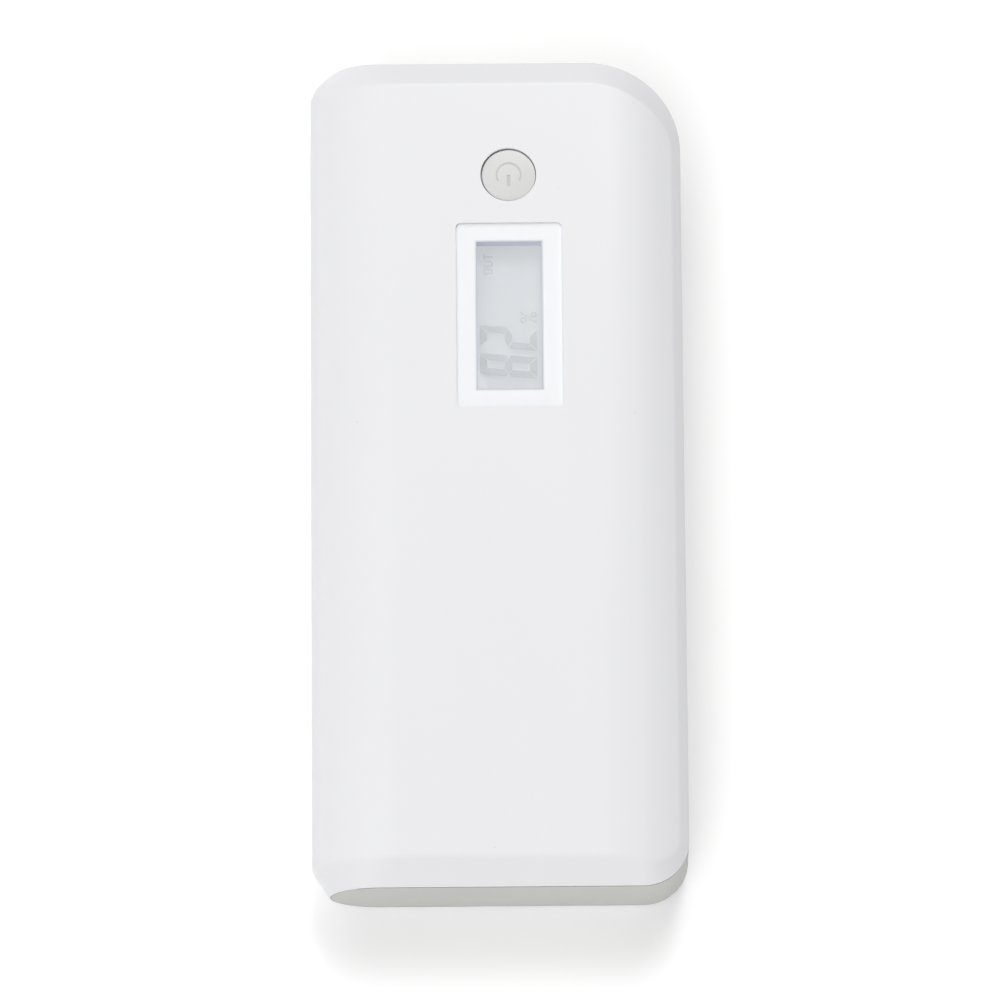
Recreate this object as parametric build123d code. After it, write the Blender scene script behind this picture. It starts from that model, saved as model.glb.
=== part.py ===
from build123d import *
import os
from math import atan2, pi, sqrt, tan

# Power bank, lying flat: +Z up, +Y towards the end with the sockets, +X away from the spine.
# The origin is the middle of the face it rests on. All sizes are in millimetres.

# ---------------------------------------------------------------- driving sizes: casing
LENGTH = 161.4
WIDTH = 70.3
THICKNESS = 22.0
WALL = 1.6
BAND_WALL = 1.8
BAND_HEIGHT = 15.0          # grey band that closes both ends and the side opposite the spine
CHAMFER_RUN = 5.1           # how far the end chamfer reaches in from the end
RIDGE_RADIUS = 1.8          # rounding where the chamfer meets the broad faces
SPINE_DEPTH = 16.0          # the spine is half an ellipse, this deep
END_SPINE_CENTRE = 12.8     # middle of the same half ellipse on the end faces, in from the spine
NEAR_SPINE_INSET = 3.4      # how far the spine has drawn in where it reaches each end face
FAR_SPINE_INSET = 4.4
FAR_TURN_RUN = 7.0          # at the socket end it draws in along a power curve of this length,
FAR_TURN_POWER = 2.8
FAR_STEPS = (3.9, 2.9, 2.0, 1.2, 0.5)   # drawn through sections this far before the end
ROLL_START = 19.6           # from here to the open side the broad faces roll off
ROLL_RADIUS = 42.8
FAR_CORNER = 18.0           # plan radius at the socket end
NEAR_CORNER = 8.5           # plan radius at the other end
PARTING = 0.3               # parting gap between the covers and the band
TIP_GAP = 0.12              # the same gap at the tips of the end plates
LIP_WIDTH = 1.0
LIP_REACH = 1.3

# ---------------------------------------------------------------- driving sizes: controls
CONTROL_X = 2.5             # the button and the display share one centre line
BUTTON_Y = 57.3
BUTTON_HOLE = 10.55
BUTTON_CAP = 10.18
BUTTON_CROWN = 0.34
BUTTON_RIM = 0.22           # rounding of the cap's edge
BUTTON_SHIFT = (0.07, -0.06)   # the cap sits a little off the middle of its hole
DISPLAY_Y = 29.6
LENS_WIDTH, LENS_LENGTH, LENS_THICK = 20.0, 36.3, 0.6
LENS_CORNER = 1.0
MASK_THICK = 0.1
WINDOW_WIDTH, WINDOW_LENGTH = 12.2, 29.0
WINDOW_Y = 29.62            # the window sits a little off the middle of the lens
SEAT_CLEARANCE = 0.03

# ---------------------------------------------------------------- driving sizes: inside
CELL_RADIUS, CELL_LENGTH = 9.0, 65.0
CAN_WALL = 0.25
WRAP = 0.12
NEAR_ROW_X = (-20.2, -1.7, 16.8)
FAR_ROW_X = (-20.4, 23.0)
NEAR_ROW_Y = -75.0          # negative ends of the two rows
FAR_ROW_Y = -7.2
STRIP_THICK = 0.2
LEAD_RADIUS = 0.6
BOARD_TOP = 15.55
BOARD_THICK = 1.6
BOARD_FRONT = 60.0          # where the wide part of the board begins
BOARD_END = 78.4
TONGUE_WIDTH = 22.0         # the narrow part, between the two cells of the far row
TONGUE_START = 5.5
SCREW_SPOTS = ((-23.6, 63.6), (21.4, 63.6), (-5.0, 9.0), (10.0, 9.0))
SOCKET_OUT_X = (-14.0, 9.6)
SOCKET_IN_X = -2.2
SOCKET_END = 80.0

# ---------------------------------------------------------------- worked out from those
HALF_L, HALF_W, MID = LENGTH / 2, WIDTH / 2, THICKNESS / 2
BAND_HALF = BAND_HEIGHT / 2
SLOPE = atan2(MID - BAND_HALF, CHAMFER_RUN)
SPLIT_X = 0.0               # the casing is drawn as a spine side and a flat side that meet here
BAND_START = END_SPINE_CENTRE - HALF_W
INNER_TOP = THICKNESS - WALL
BOARD_BOTTOM = BOARD_TOP - BOARD_THICK
MASK_BOTTOM = THICKNESS - LENS_THICK - MASK_THICK


# ---------------------------------------------------------------- helpers
def block(x, y, z):
    """Box given by its (low, high) pair on each axis."""
    size = Box(x[1] - x[0], y[1] - y[0], z[1] - z[0])
    return Pos((x[0] + x[1]) / 2, (y[0] + y[1]) / 2, (z[0] + z[1]) / 2) * size


def plate(centre, width, length, z, corner):
    """Flat plate with rounded plan corners."""
    face = RectangleRounded(width, length, corner)
    return Pos(centre[0], centre[1], z[0]) * extrude(face, z[1] - z[0])


def disc(centre, radius, z):
    return Pos(centre[0], centre[1], (z[0] + z[1]) / 2) * Cylinder(radius, z[1] - z[0])


def rod(x, z, radius, y):
    """Cylinder along Y."""
    return Pos(x, (y[0] + y[1]) / 2, z) * Rot(90, 0, 0) * Cylinder(radius, y[1] - y[0])


def upright(y):
    """Plane across the body at y, drawn in X and Z, with its origin at mid height."""
    return Plane(origin=(0, y, MID), x_dir=(1, 0, 0), z_dir=(0, -1, 0))


def wire(points, bend, radius):
    path = FilletPolyline(*points, radius=bend)
    start = Plane(origin=path @ 0, z_dir=path % 0)
    return sweep(start * Circle(radius), path=path)


# ---------------------------------------------------------------- outer form of the casing
def chamfer_run(inset):
    return CHAMFER_RUN - inset * (1 - tan(SLOPE / 2))


def band_half(inset):
    return BAND_HALF - inset * tan((pi / 2 - SLOPE) / 2)


def spine_face(y, outermost, depth, half_height):
    """Section on the spine side: half an ellipse closed by a straight cut at SPLIT_X."""
    centre = outermost + depth
    arc = EllipticalCenterArc((centre, 0), depth, half_height, start_angle=90, arc_size=180)
    low, high = (SPLIT_X, -half_height), (SPLIT_X, half_height)
    rest = Polyline((centre, -half_height), low, high, (centre, half_height))
    return upright(y) * make_face(arc + rest)


def tip_face(inset, end_inset):
    """Section of the spine where it reaches the end face, drawn at the near end."""
    turn = atan2(end_inset, CHAMFER_RUN)
    drawn_in = end_inset + inset * tan((pi / 2 - turn) / 2)
    return spine_face(inset - HALF_L, drawn_in - HALF_W, END_SPINE_CENTRE - drawn_in, band_half(inset))


def step_face(back):
    """Outer section of the spine this far before the socket end, drawn at the near end."""
    drawn_in = FAR_SPINE_INSET * (1 - back / FAR_TURN_RUN) ** FAR_TURN_POWER
    share = back / CHAMFER_RUN
    centre = END_SPINE_CENTRE + (SPINE_DEPTH - END_SPINE_CENTRE) * share
    half_height = BAND_HALF + (MID - BAND_HALF) * share
    return spine_face(back - HALF_L, drawn_in - HALF_W, centre - drawn_in, half_height)


def spine_side(inset):
    """Barrel of the spine, narrowed at both ends; only the outer form has the far end's curve."""
    bevel_y = HALF_L - inset - chamfer_run(inset)
    start = spine_face(-bevel_y, inset - HALF_W, SPINE_DEPTH - inset, MID - inset)
    steps = [] if inset else [step_face(back) for back in FAR_STEPS]
    barrel = extrude(start, amount=2 * bevel_y, dir=(0, 1, 0))
    near_end = loft([start, tip_face(inset, NEAR_SPINE_INSET)], ruled=True)
    far_end = loft([start, *steps, tip_face(inset, FAR_SPINE_INSET)], ruled=True)
    return barrel + near_end + mirror(far_end, about=Plane.XZ)


def plan_face(z, inset, left=-30.0):
    """Plan outline of the flat side, with its two unequal corners."""
    right, end = HALF_W - inset, HALF_L - inset
    face = make_face(Polyline((left, -end), (right, -end), (right, end), (left, end), close=True))
    near = [v for v in face.vertices() if v.X > 0 and v.Y < 0]
    face = fillet(near, NEAR_CORNER - inset)
    far = [v for v in face.vertices() if v.X > 0 and v.Y > HALF_L - FAR_CORNER]
    return Pos(0, 0, z) * fillet(far, FAR_CORNER - inset)


def rolled_bar(inset):
    """Bar whose top and bottom are flat from the split and then roll off towards the open side."""
    top, radius = MID - inset, ROLL_RADIUS - inset
    far_x = HALF_W + 2
    mid_x = (ROLL_START + far_x) / 2

    def height(x):
        return top - radius + sqrt(radius**2 - (x - ROLL_START) ** 2)

    upper = ThreePointArc((ROLL_START, top), (mid_x, height(mid_x)), (far_x, height(far_x)))
    lower = ThreePointArc((ROLL_START, -top), (mid_x, -height(mid_x)), (far_x, -height(far_x)))
    side = Line((far_x, height(far_x)), (far_x, -height(far_x)))
    back = Polyline((ROLL_START, top), (SPLIT_X, top), (SPLIT_X, -top), (ROLL_START, -top))
    return extrude(upright(HALF_L + 1) * make_face(upper + lower + side + back), amount=LENGTH + 2)


def flat_side(inset):
    """Straight band with a chamfered cap above and below, trimmed to the rolled section."""
    band, top = band_half(inset), MID - inset
    prism = extrude(plan_face(MID - band, inset), amount=2 * band)
    rim = plan_face(MID + band, inset)
    crown = plan_face(MID + top, inset + chamfer_run(inset))
    cap = loft([rim, crown], ruled=True)
    return (prism + cap + mirror(cap, about=Plane.XY.offset(MID))) & rolled_bar(inset)


def body(inset=0.0):
    return spine_side(inset) + flat_side(inset)


def is_ridge(edge):
    """True for the edges between the broad faces and the chamfers."""
    ends = [edge.position_at(u) for u in (0, 0.5, 1)]
    at_band = any(abs(abs(p.Z - MID) - BAND_HALF) < 0.01 for p in ends)
    seam = abs(ends[0].X - ends[2].X) < 0.01 and ends[1].X < HALF_W - CHAMFER_RUN
    step = any(all(abs(p.Y - HALF_L + back) < 0.01 for p in ends) for back in FAR_STEPS)
    return not (at_band or seam or step)


def rounded_body():
    solid = body()
    return fillet([e for e in solid.edges() if is_ridge(e)], RIDGE_RADIUS)


def band_prism(inset, z, left=BAND_START):
    """Upright prism on the plan outline, from z[0] to z[1], to the right of left."""
    return extrude(plan_face(z[0], inset, left), amount=z[1] - z[0])


def end_plates(tip_gap=0.0, gap=0.0):
    """Left half of both end plates: the half ellipses where the spine meets the end faces."""

    def plate_at(drawn_in):
        outermost = drawn_in + tip_gap
        face = spine_face(-HALF_L, outermost - HALF_W, END_SPINE_CENTRE - outermost, BAND_HALF - gap)
        return extrude(face, amount=BAND_WALL, dir=(0, 1, 0))

    return plate_at(NEAR_SPINE_INSET) + mirror(plate_at(FAR_SPINE_INSET), about=Plane.XZ)


# ---------------------------------------------------------------- casing parts
def cover_blank(outer, inner):
    """Upper shell before its openings: everything above the band and the spine seam."""
    shell = outer - inner
    shell -= block((-HALF_W - 1, HALF_W + 1), (-HALF_L - 1, HALF_L + 1), (-1, MID + PARTING / 2))
    shell -= block((BAND_START, HALF_W + 1), (-HALF_L - 1, HALF_L + 1), (0, MID + BAND_HALF))
    shell -= end_plates()
    rim = MID + BAND_HALF
    lip_z = (rim - LIP_REACH, rim + 0.1)
    lip_out = BAND_WALL + 0.1
    lip = band_prism(lip_out, lip_z) - band_prism(lip_out + LIP_WIDTH, lip_z, BAND_START - 1)
    return shell + lip


def spine_lip(inner):
    """Tongue inside the spine that lines the two covers up."""
    reach = 60.0
    strip = block((-HALF_W, BAND_START - 6), (-reach, reach), (MID - LIP_REACH, MID + LIP_REACH))
    tongue = (inner & strip) - body(WALL + LIP_WIDTH)
    relief = block((-HALF_W, -HALF_W + WALL + 0.12), (-reach, reach), (0, MID + PARTING / 2))
    upper = block((-HALF_W, 0), (-reach, reach), (MID + 0.4, THICKNESS))
    root = (body(WALL - 0.3) & strip & upper) - inner
    return tongue - relief + root


def front_cover(outer, inner):
    cover = cover_blank(outer, inner) + spine_lip(inner)
    seat_corner = LENS_CORNER + SEAT_CLEARANCE
    seat = (LENS_WIDTH + 2 * SEAT_CLEARANCE, LENS_LENGTH + 2 * SEAT_CLEARANCE)
    centre = (CONTROL_X, DISPLAY_Y)
    cover -= plate(centre, *seat, (MASK_BOTTOM, THICKNESS + 1), seat_corner)
    well = (WINDOW_WIDTH + 4.2, WINDOW_LENGTH + 4.2)
    cover -= plate((CONTROL_X, WINDOW_Y), *well, (INNER_TOP - 1, THICKNESS), 1.0)
    cover -= disc((CONTROL_X, BUTTON_Y), BUTTON_HOLE / 2, (INNER_TOP - 1, THICKNESS + 1))
    guide = disc((CONTROL_X, BUTTON_Y), 7.4, (INNER_TOP - 1.5, INNER_TOP + 0.1))
    guide -= disc((CONTROL_X, BUTTON_Y), 6.4, (INNER_TOP - 2, THICKNESS))
    guide -= block((CONTROL_X - 1.2, CONTROL_X + 1.2), (BUTTON_Y - 9, BUTTON_Y + 9), (0, INNER_TOP))
    return cover + guide


def cradle(row_x, y, width):
    """Rib across the back cover, hollowed to the cells that rest in it."""
    rib = block((-31.0, 31.0), (y, y + width), (WALL - 0.2, 6.5))
    for x in row_x:
        rib -= rod(x, MID, CELL_RADIUS + WRAP + 0.15, (y - 1, y + width + 1))
    return rib


def back_cover(outer, inner):
    cover = mirror(cover_blank(outer, inner), about=Plane.XY.offset(MID))
    ribs = cradle(NEAR_ROW_X, -62.0, 1.2) + cradle(NEAR_ROW_X, -24.0, 1.2)
    ribs += cradle(FAR_ROW_X, 8.0, 1.2) + cradle(FAR_ROW_X, 44.0, 1.2)
    ribs -= block((27.0, 40.0), (-HALF_L, HALF_L), (0, 8.0))
    ribs -= block((-10.5, 13.0), (0, HALF_L), (3.2, 8.0))
    cover += ribs & inner
    for spot in SCREW_SPOTS:
        cover += disc(spot, 2.4, (WALL - 0.2, BOARD_BOTTOM))
    for spot in SCREW_SPOTS:
        cover -= disc(spot, 0.85, (6.0, BOARD_BOTTOM + 1))
    return cover


def socket_mouth(x, z, width, height, corner):
    """Rounded opening through the socket end of the band, with a small flare outside."""
    face = Plane(origin=(x, HALF_L - BAND_WALL - 1, z), x_dir=(-1, 0, 0), z_dir=(0, 1, 0))
    through = extrude(face * RectangleRounded(width, height, corner), amount=BAND_WALL + 2)
    mouth = Plane(origin=(x, HALF_L - 0.35, z), x_dir=(-1, 0, 0), z_dir=(0, 1, 0))
    narrow = mouth * RectangleRounded(width, height, corner)
    wide = mouth.offset(0.45) * RectangleRounded(width + 0.9, height + 0.9, corner + 0.45)
    return through + loft([narrow, wide], ruled=True)


def mid_frame():
    z = (MID - BAND_HALF + PARTING, MID + BAND_HALF - PARTING)
    ring = band_prism(0, z, BAND_START) - band_prism(BAND_WALL, (0, THICKNESS), BAND_START - 1)
    spine_end = block((-HALF_W, BAND_START), (-HALF_L, HALF_L), (0, THICKNESS))
    frame = ring + (end_plates(TIP_GAP, PARTING) & spine_end)
    for x in SOCKET_OUT_X:
        frame -= socket_mouth(x, SOCKET_OUT_Z, OUT_SHELL[0] + 0.5, OUT_SHELL[1] + 0.5, 0.7)
    frame -= socket_mouth(SOCKET_IN_X, SOCKET_IN_Z, IN_SHELL[0] + 0.5, IN_SHELL[1] + 0.5, 0.8)
    ribs = Part()
    for y in (-50.0, -20.0, 10.0, 40.0):
        inside = HALF_W - BAND_WALL
        ribs += block((inside - 0.9, inside + 0.1), (y, y + 1.4), (z[0] + 2.6, z[1] - 2.6))
    return frame + ribs


# ---------------------------------------------------------------- button and switch
SWITCH_TOP = BOARD_TOP + 1.9
SWITCH_HALF = 3.0
PLUNGER_TOP = SWITCH_TOP + 0.75
BUTTON_FREE_PLAY = 0.02
FLANGE = (INNER_TOP - 0.9, INNER_TOP - 0.08)


def power_button():
    """Cap with a shallow crown, an engraved power mark, a flange and a stem."""
    radius = BUTTON_CAP / 2
    sphere = (radius**2 + BUTTON_CROWN**2) / (2 * BUTTON_CROWN)
    centre = (CONTROL_X + BUTTON_SHIFT[0], BUTTON_Y + BUTTON_SHIFT[1])
    top = THICKNESS
    stem_end = PLUNGER_TOP + BUTTON_FREE_PLAY
    cap = disc(centre, radius, (FLANGE[0], top + 1))
    cap &= Pos(*centre, top - sphere) * Rot(90, 0, 0) * Sphere(sphere)
    rims = [e for e in cap.edges() if abs(e.length - 2 * pi * radius) < 0.1]
    cap = fillet(max(rims, key=lambda e: e.position_at(0).Z), BUTTON_RIM)
    cap += disc(centre, radius + 0.75, FLANGE)
    cap += disc(centre, 1.6, (stem_end, FLANGE[0] + 0.1))
    return cap - power_mark(centre, top)


def power_mark(centre, top):
    """Engraved arc, open towards the display, with a bar that runs out of its middle."""
    arc_radius, arc_width, bar_length, bar_width = 2.3, 0.36, 2.3, 0.66
    floor = top - 0.14
    arc = trace(CenterArc((0, 0), arc_radius, -30, 240), arc_width)
    bar = Pos(0, -bar_length / 2) * SlotOverall(bar_length, bar_width, rotation=90)
    return extrude(Plane(origin=(*centre, floor)) * (arc + bar), 1.0)


def switch_square(z):
    """Square block of the switch's plan size."""
    x = (CONTROL_X - SWITCH_HALF, CONTROL_X + SWITCH_HALF)
    return block(x, (BUTTON_Y - SWITCH_HALF, BUTTON_Y + SWITCH_HALF), z)


def switch_base():
    base = switch_square((BOARD_TOP, SWITCH_TOP - 0.3))
    return base - disc((CONTROL_X, BUTTON_Y), 2.5, (BOARD_TOP + 0.4, SWITCH_TOP + 1))


def switch_dome():
    """Thin sprung disc that arches up under the plunger."""
    rim, rise, thick = 2.3, 0.42, 0.08
    base = BOARD_TOP + 0.42
    outer = (rim**2 + rise**2) / (2 * rise)
    dome = Pos(0, 0, rise - outer) * Sphere(outer)
    dome -= Pos(0, 0, rise - outer) * Sphere(outer - thick)
    dome &= Pos(0, 0, rise / 2 + 0.05) * Box(8, 8, rise)
    return Pos(CONTROL_X, BUTTON_Y, base) * dome


def switch_plunger():
    centre = (CONTROL_X, BUTTON_Y)
    stem = disc(centre, 1.5, (SWITCH_TOP - 0.6, PLUNGER_TOP))
    return stem + disc(centre, 2.2, (SWITCH_TOP - 0.75, SWITCH_TOP - 0.34))


def switch_cover():
    cover = switch_square((SWITCH_TOP - 0.3, SWITCH_TOP))
    return cover - disc((CONTROL_X, BUTTON_Y), 1.65, (SWITCH_TOP - 1, SWITCH_TOP + 1))


def switch_terminals():
    """Four gull-wing legs beside the switch."""
    half_width, half_foot, thick = 0.35, 0.55, 0.2
    legs = []
    for side in (-1, 1):
        for dy in (-2.25, 2.25):
            y = (BUTTON_Y + dy - half_width, BUTTON_Y + dy + half_width)
            foot_x = CONTROL_X + side * (SWITCH_HALF + half_foot)
            riser_x = CONTROL_X + side * (SWITCH_HALF + thick / 2)
            foot = block((foot_x - half_foot, foot_x + half_foot), y, (BOARD_TOP, BOARD_TOP + thick))
            riser = block((riser_x - thick / 2, riser_x + thick / 2), y, (BOARD_TOP, BOARD_TOP + 0.9))
            legs.append(foot + riser)
    return legs


# ---------------------------------------------------------------- display
LCD_WIDTH, LCD_LENGTH = 16.0, 33.0
GUIDE_Z = (BOARD_TOP + 0.2, BOARD_TOP + 1.3)
REAR_FILM_Z = (GUIDE_Z[1] + 0.02, GUIDE_Z[1] + 0.2)
REAR_GLASS_Z = (REAR_FILM_Z[1] + 0.01, REAR_FILM_Z[1] + 0.71)
INK_Z = (REAR_GLASS_Z[1] + 0.005, REAR_GLASS_Z[1] + 0.035)
FRONT_GLASS_Z = (INK_Z[1] + 0.005, INK_Z[1] + 0.705)
FRONT_FILM_Z = (FRONT_GLASS_Z[1] + 0.01, FRONT_GLASS_Z[1] + 0.19)
DIGIT_HEIGHT, DIGIT_WIDTH, DIGIT_STROKE = 10.75, 4.2, 1.32
DIGIT_GAP = 0.09            # half the gap between two segments
DIGIT_NOTCH = 0.42          # how far from the digit's side its segments meet at mid height
DIGIT_LEAN = 0.09
CHARACTER_BASE = 7.65       # x of the feet of the characters
# The characters read from the low end of the display upwards, with their tops to the left.
DIGIT_SEGMENTS = {"8": "abcdefg", "2": "abdeg"}


def display_sheet(width, length, z, corner=0.3):
    return plate((CONTROL_X, DISPLAY_Y), width, length, z, corner)


def window_sheet(margin, z, corner=0.2):
    """Plate over the window, margin wider than it on every side."""
    size = (WINDOW_WIDTH + 2 * margin, WINDOW_LENGTH + 2 * margin)
    return plate((CONTROL_X, WINDOW_Y), *size, z, corner)


def lens_mask():
    mask_z = (MASK_BOTTOM, MASK_BOTTOM + MASK_THICK - 0.01)
    mask = display_sheet(LENS_WIDTH, LENS_LENGTH, mask_z, LENS_CORNER)
    return mask - window_sheet(0, (0, THICKNESS))


def display_lens():
    lens = display_sheet(LENS_WIDTH, LENS_LENGTH, (THICKNESS - LENS_THICK, THICKNESS), LENS_CORNER)
    return chamfer(lens.faces().sort_by(Axis.Z)[-1].edges(), 0.18)


def display_gasket():
    z = (FRONT_FILM_Z[1] + 0.02, MASK_BOTTOM - 0.02)
    return window_sheet(1.7, z, 0.3) - window_sheet(0.02, (0, THICKNESS))


def lcd_holder():
    """Moulded tray that sits on the board and keeps the display stack together."""
    z = (BOARD_TOP, FRONT_FILM_Z[1] - 0.3)
    tray = display_sheet(LCD_WIDTH + 3.2, LCD_LENGTH + 2.6, z, 0.8)
    tray -= display_sheet(LCD_WIDTH + 0.3, LCD_LENGTH + 0.3, (BOARD_TOP + 0.2, THICKNESS))
    tray -= display_sheet(LCD_WIDTH - 3, LCD_LENGTH - 3, (0, THICKNESS))
    clip = DISPLAY_Y - LCD_LENGTH / 2
    return tray - block((-1.5, 6.5), (clip - 2, clip + 0.5), (BOARD_TOP + 1.4, THICKNESS))


def segment_outlines():
    """Outline of each of the seven segments on an upright digit, low left corner at the origin.

    The frame is mitred at its corners, its sides are notched at mid height, and a crossbar with
    pointed ends runs between the notches. Every cut leaves the same narrow gap.
    """
    w, h, t, g, n = DIGIT_WIDTH, DIGIT_HEIGHT, DIGIT_STROKE, DIGIT_GAP, DIGIT_NOTCH
    mid, half = h / 2, t / 2
    top = [(g, h), (w - g, h), (w - t - g, h - t), (t + g, h - t)]
    upper_left = [(0, h - g), (t, h - t - g), (t, mid + half + g), (n, mid + g), (0, mid + n + g)]
    crossbar = [(n + g, mid), (t + g, mid + half), (w - t - g, mid + half), (w - n - g, mid)]
    crossbar += [(w - t - g, mid - half), (t + g, mid - half)]
    return {
        "a": top,
        "b": [(w - x, y) for x, y in upper_left],
        "c": [(w - x, h - y) for x, y in upper_left],
        "d": [(x, h - y) for x, y in top],
        "e": [(x, h - y) for x, y in upper_left],
        "f": upper_left,
        "g": crossbar,
    }


def seven_segment(name, start):
    """A digit that reads along +Y with its top towards -X; start is its low left corner."""
    outlines = segment_outlines()

    def placed(point):
        along, rise = point
        return (start[0] - rise, start[1] + along + rise * DIGIT_LEAN)

    return [make_face(Polyline(*map(placed, outlines[s]), close=True)) for s in DIGIT_SEGMENTS[name]]


def stroke(points, width):
    return trace(Polyline(*points), width)


def percent_mark(start):
    """Two small rings and a slash, in the same reading direction as the digits."""
    height, width, pen, ring = 3.15, 2.1, 0.26, 0.57
    x, y = start
    ring_in = (0.6, 0.52)       # of a ring's middle, from the mark's top or foot and from its side
    marks = [stroke([(x, y), (x - height, y + width)], pen)]
    for centre in ((x - height + ring_in[0], y + ring_in[1]), (x - ring_in[0], y + width - ring_in[1])):
        marks.append(Pos(*centre) * (Circle(ring) - Circle(ring - pen)))
    return marks


def output_legend(start):
    """The generic word OUT in thin strokes."""
    high, wide, pitch, pen = 1.75, 1.15, 1.45, 0.26
    x, y = start
    half_pen, bend = pen / 2, 0.42
    ring = RectangleRounded(high, wide, bend + half_pen)
    ring -= RectangleRounded(high - 2 * pen, wide - 2 * pen, bend - half_pen)
    letter_o = Pos(x - high / 2, y + wide / 2) * ring
    left_y, right_y, foot = y + pitch + half_pen, y + pitch + wide - half_pen, x - half_pen
    cup = [(x - high, left_y), (foot, left_y), (foot, right_y), (x - high, right_y)]
    letter_u = trace(FilletPolyline(*cup, radius=bend), pen)
    bar_x, bar_y = x - high + half_pen, y + 2 * pitch
    bar = stroke([(bar_x, bar_y), (bar_x, bar_y + wide)], pen)
    stem = stroke([(bar_x, bar_y + wide / 2), (x, bar_y + wide / 2)], pen)
    return [letter_o, letter_u, bar + stem]


def lcd_segments():
    """The characters that show on the display, each segment a separate thin film."""
    faces = seven_segment("8", (CHARACTER_BASE, 18.15)) + seven_segment("2", (CHARACTER_BASE, 23.65))
    faces += percent_mark((CHARACTER_BASE, 29.2)) + output_legend((-0.58, 38.83))
    solids = []
    for face in faces:
        solids += extrude(Pos(0, 0, INK_Z[0]) * face, INK_Z[1] - INK_Z[0]).solids()
    return solids


def backlight_led():
    y = DISPLAY_Y + LCD_LENGTH / 2 + 3.1
    return block((CONTROL_X - 1.4, CONTROL_X + 1.4), (y - 0.6, y + 0.6), (BOARD_TOP, BOARD_TOP + 1.1))


def contact_strip():
    """Striped rubber strip that joins the display glass to the board."""
    y = DISPLAY_Y - LCD_LENGTH / 2 - 0.1
    return block((CONTROL_X - 3.6, CONTROL_X + 3.6), (y - 2.9, y - 1.4), (BOARD_TOP, BOARD_TOP + 1.6))


# ---------------------------------------------------------------- sockets
OUT_SHELL = (13.1, 5.7, 14.0)
IN_SHELL = (7.5, 2.5, 5.2)
METAL = 0.3
SOCKET_OUT_Z = BOARD_BOTTOM - OUT_SHELL[1] / 2 - 0.02
SOCKET_IN_Z = BOARD_BOTTOM - IN_SHELL[1] / 2 - 0.02


def socket_shell(x, z, size, corner):
    width, height, depth = size
    face = Plane(origin=(x, SOCKET_END, z), x_dir=(1, 0, 0), z_dir=(0, -1, 0))
    outline = RectangleRounded(width, height, corner)
    ring = outline - RectangleRounded(width - 2 * METAL, height - 2 * METAL, corner - 0.2)
    shell = extrude(face * ring, amount=depth)
    back = SOCKET_END - depth
    wall = block((x - width / 2, x + width / 2), (back, back + METAL), (z - height / 2, z + height / 2))
    return shell + wall & extrude(face * outline, amount=depth)


def output_contacts(x):
    """Four sprung strips on the tongue, each with a tail up to the board."""
    strips = []
    top = SOCKET_OUT_Z - OUT_SHELL[1] / 2 + METAL + 0.72 + 1.84
    back = SOCKET_END - OUT_SHELL[2] + METAL + 0.2
    tail_z = (top, BOARD_BOTTOM - METAL - 0.05)
    for place in (-3.5, -1.0, 1.0, 3.5):
        strip = block((x + place - 0.5, x + place + 0.5), (back, SOCKET_END - 2.2), (top, top + 0.22))
        tail = block((x + place - 0.3, x + place + 0.3), (back, back + 0.3), tail_z)
        strips.append(strip + tail)
    return strips


def output_insulator(x):
    """Rear block with the tongue that carries the contacts."""
    width, height, depth = OUT_SHELL
    back = SOCKET_END - depth + METAL + 0.02
    floor = SOCKET_OUT_Z - height / 2 + METAL
    inner = width / 2 - METAL - 0.1
    rear_z = (floor + 0.1, floor + height - 2 * METAL - 0.1)
    rear = block((x - inner, x + inner), (back, back + 2.6), rear_z)
    tongue = block((x - 5.55, x + 5.55), (back, SOCKET_END - 1.4), (floor + 0.72, floor + 0.72 + 1.84))
    solid = rear + tongue
    for strip in output_contacts(x):
        solid -= strip
    return solid


def input_contacts():
    """Five fine strips on top of the tongue."""
    z = SOCKET_IN_Z + 0.32
    back = SOCKET_END - IN_SHELL[2] + METAL
    pitch, half = 0.65, 0.15
    places = [SOCKET_IN_X + k * pitch for k in (-2, -1, 0, 1, 2)]
    return [block((x - half, x + half), (back + 0.1, SOCKET_END - 1.2), (z, z + 0.1)) for x in places]


def input_insulator():
    back = SOCKET_END - IN_SHELL[2] + METAL + 0.02
    x, z = SOCKET_IN_X, SOCKET_IN_Z
    rear = block((x - 3.35, x + 3.35), (back, back + 1.0), (z - 0.85, z + 0.85))
    tongue = block((x - 1.85, x + 1.85), (back, SOCKET_END - 1.0), (z - 0.28, z + 0.32))
    solid = rear + tongue
    for strip in input_contacts():
        solid -= strip
    return solid


# ---------------------------------------------------------------- board and its parts
def main_board():
    """T-shaped board: a wide part behind the sockets and a tongue under the display."""
    left, right, corner_radius = -26.0, 24.0, 16.0
    half = TONGUE_WIDTH / 2
    z = (BOARD_BOTTOM, BOARD_TOP)
    middle = ((left + right) / 2, (BOARD_FRONT + BOARD_END) / 2)
    wide = plate(middle, right - left, BOARD_END - BOARD_FRONT, z, 1.0)
    corner_x, corner_y = right - corner_radius, BOARD_END - corner_radius
    corner = Pos(corner_x, corner_y, MID) * Cylinder(corner_radius, THICKNESS)
    cut = block((corner_x, right + 1), (corner_y, BOARD_END + 1), (z[0] - 1, z[1] + 1)) - corner
    tongue = block((CONTROL_X - half, CONTROL_X + half), (TONGUE_START, BOARD_FRONT + 2), z)
    board = wide - cut + tongue
    for spot in SCREW_SPOTS:
        board -= disc(spot, 1.15, (BOARD_BOTTOM - 1, BOARD_TOP + 1))
    return board


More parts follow.
